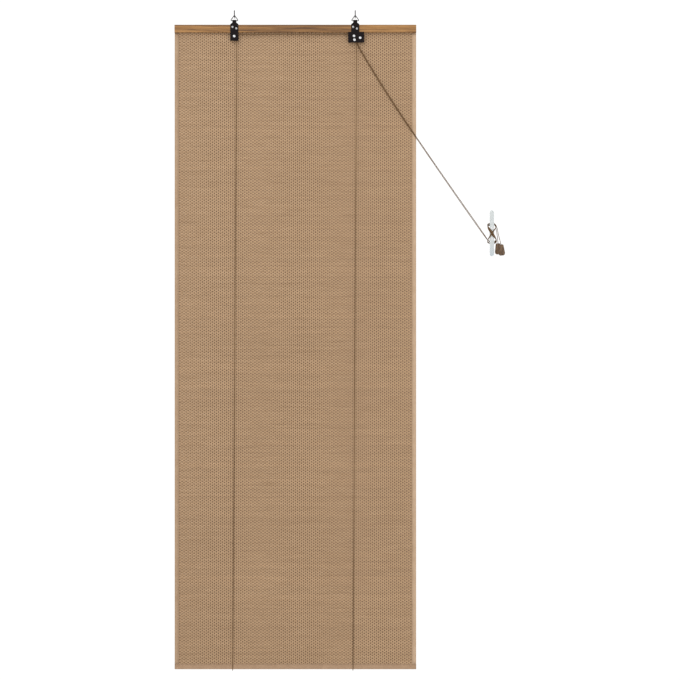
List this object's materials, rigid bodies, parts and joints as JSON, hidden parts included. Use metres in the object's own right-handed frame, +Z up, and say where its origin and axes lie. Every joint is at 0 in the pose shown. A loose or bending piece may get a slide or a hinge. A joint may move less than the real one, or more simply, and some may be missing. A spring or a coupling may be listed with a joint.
{
  "type": "bamboo roller blind",
  "caption": "Woven bamboo roll-up blind hung by two rings on wall hooks, with lift cords, cord lock, wall cleat and wooden tassels.",
  "frame": {"origin": "halfway between the two wall hooks, on the wall plane, on the axis of the hooks' shanks", "axes": "+X to the right as seen from the room, +Y into the wall, +Z up"},
  "size_m": [0.8204, 0.0574, 1.64],
  "materials": {
    "zinc_steel": "bright zinc plate",
    "pale_plastic": "pale, slightly translucent moulded plastic",
    "brown_cord": "braided cord",
    "brown_wood": "stained turned wood",
    "rail_wood": "carbonised bamboo, satin",
    "bamboo": "woven bamboo slats",
    "binding_cloth": "woven edge binding",
    "hem_cloth": "woven hem binding",
    "black_steel": "black enamelled sheet steel",
    "white_nylon": "moulded nylon"
  },
  "bodies": {
    "wall_side": {"hook_left": "zinc_steel", "hook_right": "zinc_steel", "ring_left": "zinc_steel", "ring_right": "zinc_steel", "cleat": "pale_plastic", "cleat_screws": "zinc_steel", "cord_left_pull": "brown_cord", "cord_right_pull": "brown_cord", "tassel_back": "brown_wood", "tassel_front": "brown_wood"},
    "blind": {"headrail": "rail_wood", "back_strip": "rail_wood", "rail_nails": "zinc_steel", "mat": "bamboo", "edge_tape_left": "binding_cloth", "edge_tape_right": "binding_cloth", "bottom_batten": "rail_wood", "hem_tape": "hem_cloth", "hanger_plate_left": "black_steel", "lock_plate": "black_steel", "lock_back": "black_steel", "plate_screws": "zinc_steel", "pulley_rivet_left": "zinc_steel", "lock_rivets": "zinc_steel", "cord_left": "brown_cord", "cord_right": "brown_cord", "cord_knot_left": "brown_cord", "cord_knot_right": "brown_cord", "cord_staples": "zinc_steel"},
    "pulley_left": {"pulley_left": "white_nylon"},
    "roller_upper": {"roller_upper": "white_nylon"},
    "roller_lower": {"roller_lower": "white_nylon"},
    "lock_cam": {"lock_cam": "zinc_steel"}
  },
  "joints": [
    {"name": "blind_swing", "type": "hinge", "parent": "wall_side", "child": "blind", "pos_m": [0, -0.0205, -0.0101], "axis": [-1, 0, 0], "range_deg": [-0.4, 10], "deforming": ["cord_left_pull", "cord_right_pull"]},
    {"name": "pulley_left_spin", "type": "hinge", "parent": "blind", "child": "pulley_left", "pos_m": [-0.1502, -0.0264, -0.0492], "axis": [0, 1, 0], "continuous": true},
    {"name": "roller_upper_spin", "type": "hinge", "parent": "blind", "child": "roller_upper", "pos_m": [0.1469, -0.0264, -0.0485], "axis": [0, 1, 0], "continuous": true},
    {"name": "roller_lower_spin", "type": "hinge", "parent": "blind", "child": "roller_lower", "pos_m": [0.1482, -0.0264, -0.0582], "axis": [0, 1, 0], "continuous": true},
    {"name": "cam_release", "type": "hinge", "parent": "blind", "child": "lock_cam", "pos_m": [0.1623, -0.0264, -0.0532], "axis": [0, -1, 0], "range_deg": [0, 25]}
  ]
}
